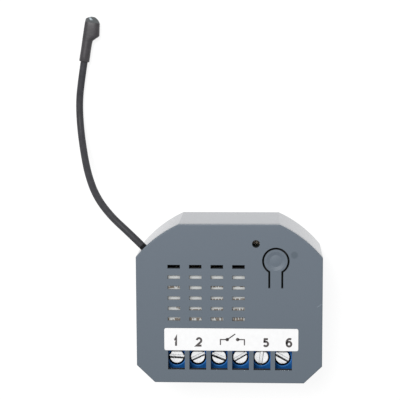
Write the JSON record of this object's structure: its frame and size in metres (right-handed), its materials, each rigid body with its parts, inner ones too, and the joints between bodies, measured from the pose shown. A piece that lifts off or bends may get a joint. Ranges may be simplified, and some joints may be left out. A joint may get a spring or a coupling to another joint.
{
  "type": "smart relay module",
  "caption": "In-wall relay module: shallow grey case with clipped corners, vent slots, program key, label, screw terminals and a short wire antenna.",
  "frame": {"origin": "centre of the case outline on its back face, without the antenna", "axes": "+Z out of the front face, +X to the right and +Y to the top of the front face, with the terminals at the bottom"},
  "size_m": [0.0602, 0.0866, 0.0201],
  "materials": {
    "housing_plastic": "fine spark-eroded grain, dark blue-grey",
    "label_plate": "satin white printed plate",
    "terminal_plastic": "satin blue moulding",
    "screw_steel": "bright zinc plating",
    "clamp_steel": "bright zinc plating",
    "contact_metal": "tinned brass",
    "relay_plastic": "pale grey moulding",
    "coil_copper": "lacquered copper winding",
    "relay_iron": "plated soft iron",
    "board_laminate": "green solder mask",
    "black_plastic": "moulded black epoxy",
    "plunger_plastic": "black nylon",
    "light_lens": "pale lens with gold pads",
    "shield_steel": "tinned steel can",
    "film_box": "yellow box",
    "can_aluminium": "sleeved aluminium can",
    "varistor_coating": "blue epoxy dip",
    "resistor_coating": "green lacquer",
    "ferrite": "dark ferrite",
    "wire_jacket": "smooth black jacket",
    "sleeve_rubber": "shrunk black sleeve"
  },
  "bodies": {
    "module": {"antenna_lead": "wire_jacket", "antenna_tip": "sleeve_rubber", "antenna_wire": "wire_jacket", "board_header": "black_plastic", "bridge_rectifier": "black_plastic", "controller_chip": "black_plastic", "filter_capacitor": "can_aluminium", "front_cover": "housing_plastic", "fuse_resistor": "resistor_coating", "header_pin_row": "contact_metal", "input_coupler_1": "black_plastic", "input_coupler_2": "black_plastic", "main_board": "board_laminate", "output_capacitor": "can_aluminium", "radio_chip": "black_plastic", "radio_crystal": "shield_steel", "radio_shield": "shield_steel", "rear_housing": "housing_plastic", "relay_base": "relay_plastic", "relay_bobbin": "relay_plastic", "relay_case": "relay_plastic", "relay_coil": "coil_copper", "relay_coil_pins": "contact_metal", "relay_core": "relay_iron", "relay_fixed_contact": "contact_metal", "relay_yoke": "relay_iron", "status_light": "light_lens", "supply_capacitor": "film_box", "supply_converter": "black_plastic", "supply_inductor": "ferrite", "switch_body": "black_plastic", "terminal_block_1": "terminal_plastic", "terminal_block_2": "terminal_plastic", "terminal_block_3": "terminal_plastic", "terminal_contact_1": "contact_metal", "terminal_contact_2": "contact_metal", "terminal_contact_3": "contact_metal", "terminal_contact_4": "contact_metal", "terminal_contact_5": "contact_metal", "terminal_contact_6": "contact_metal", "terminal_label": "label_plate", "upper_board": "board_laminate", "varistor": "varistor_coating"},
    "button": {"program_button": "housing_plastic"},
    "plunger": {"switch_plunger": "plunger_plastic"},
    "armature": {"relay_armature": "relay_iron", "relay_contact_blade": "contact_metal"},
    "screw_1": {"terminal_screw_1": "screw_steel"},
    "screw_2": {"terminal_screw_2": "screw_steel"},
    "screw_3": {"terminal_screw_3": "screw_steel"},
    "screw_4": {"terminal_screw_4": "screw_steel"},
    "screw_5": {"terminal_screw_5": "screw_steel"},
    "screw_6": {"terminal_screw_6": "screw_steel"},
    "clamp_1": {"terminal_clamp_1": "clamp_steel"},
    "clamp_2": {"terminal_clamp_2": "clamp_steel"},
    "clamp_3": {"terminal_clamp_3": "clamp_steel"},
    "clamp_4": {"terminal_clamp_4": "clamp_steel"},
    "clamp_5": {"terminal_clamp_5": "clamp_steel"},
    "clamp_6": {"terminal_clamp_6": "clamp_steel"}
  },
  "joints": [
    {"name": "button_press", "type": "hinge", "parent": "module", "child": "button", "pos_m": [0.01098, 0.00393, 0.01975], "axis": [-1, 0, 0], "range_deg": [0, 2.25], "stiffness_Nm_per_rad": 0.012},
    {"name": "plunger_travel", "type": "slide", "parent": "module", "child": "plunger", "axis": [0, 0, -1], "range_m": [0, 0.00025]},
    {"name": "armature_pull", "type": "hinge", "parent": "module", "child": "armature", "pos_m": [-0.0129, -0.00022, 0.01655], "axis": [0, 1, 0], "range_deg": [0, 2.3], "stiffness_Nm_per_rad": 0.05},
    {"name": "screw_1_turn", "type": "hinge", "parent": "module", "child": "screw_1", "pos_m": [-0.0127, -0.01372, 0.0143], "axis": [0, 0, -1], "range_deg": [0, 1681]},
    {"name": "clamp_1_rise", "type": "slide", "parent": "module", "child": "clamp_1", "axis": [0, 0, 1], "range_m": [0, 0.0021]},
    {"name": "screw_2_turn", "type": "hinge", "parent": "module", "child": "screw_2", "pos_m": [-0.00762, -0.01372, 0.0143], "axis": [0, 0, -1], "range_deg": [0, 1681]},
    {"name": "clamp_2_rise", "type": "slide", "parent": "module", "child": "clamp_2", "axis": [0, 0, 1], "range_m": [0, 0.0021]},
    {"name": "screw_3_turn", "type": "hinge", "parent": "module", "child": "screw_3", "pos_m": [-0.00254, -0.01372, 0.0143], "axis": [0, 0, -1], "range_deg": [0, 1681]},
    {"name": "clamp_3_rise", "type": "slide", "parent": "module", "child": "clamp_3", "axis": [0, 0, 1], "range_m": [0, 0.0021]},
    {"name": "screw_4_turn", "type": "hinge", "parent": "module", "child": "screw_4", "pos_m": [0.00254, -0.01372, 0.0143], "axis": [0, 0, -1], "range_deg": [0, 1681]},
    {"name": "clamp_4_rise", "type": "slide", "parent": "module", "child": "clamp_4", "axis": [0, 0, 1], "range_m": [0, 0.0021]},
    {"name": "screw_5_turn", "type": "hinge", "parent": "module", "child": "screw_5", "pos_m": [0.00762, -0.01372, 0.0143], "axis": [0, 0, -1], "range_deg": [0, 1681]},
    {"name": "clamp_5_rise", "type": "slide", "parent": "module", "child": "clamp_5", "axis": [0, 0, 1], "range_m": [0, 0.0021]},
    {"name": "screw_6_turn", "type": "hinge", "parent": "module", "child": "screw_6", "pos_m": [0.0127, -0.01372, 0.0143], "axis": [0, 0, -1], "range_deg": [0, 1681]},
    {"name": "clamp_6_rise", "type": "slide", "parent": "module", "child": "clamp_6", "axis": [0, 0, 1], "range_m": [0, 0.0021]}
  ],
  "couplings": [
    {"joint": "button_press", "follows": "plunger_travel", "rad_per_m": 154.08},
    {"joint": "screw_1_turn", "follows": "clamp_1_rise", "rad_per_m": 13963},
    {"joint": "screw_2_turn", "follows": "clamp_2_rise", "rad_per_m": 13963},
    {"joint": "screw_3_turn", "follows": "clamp_3_rise", "rad_per_m": 13963},
    {"joint": "screw_4_turn", "follows": "clamp_4_rise", "rad_per_m": 13963},
    {"joint": "screw_5_turn", "follows": "clamp_5_rise", "rad_per_m": 13963},
    {"joint": "screw_6_turn", "follows": "clamp_6_rise", "rad_per_m": 13963}
  ]
}
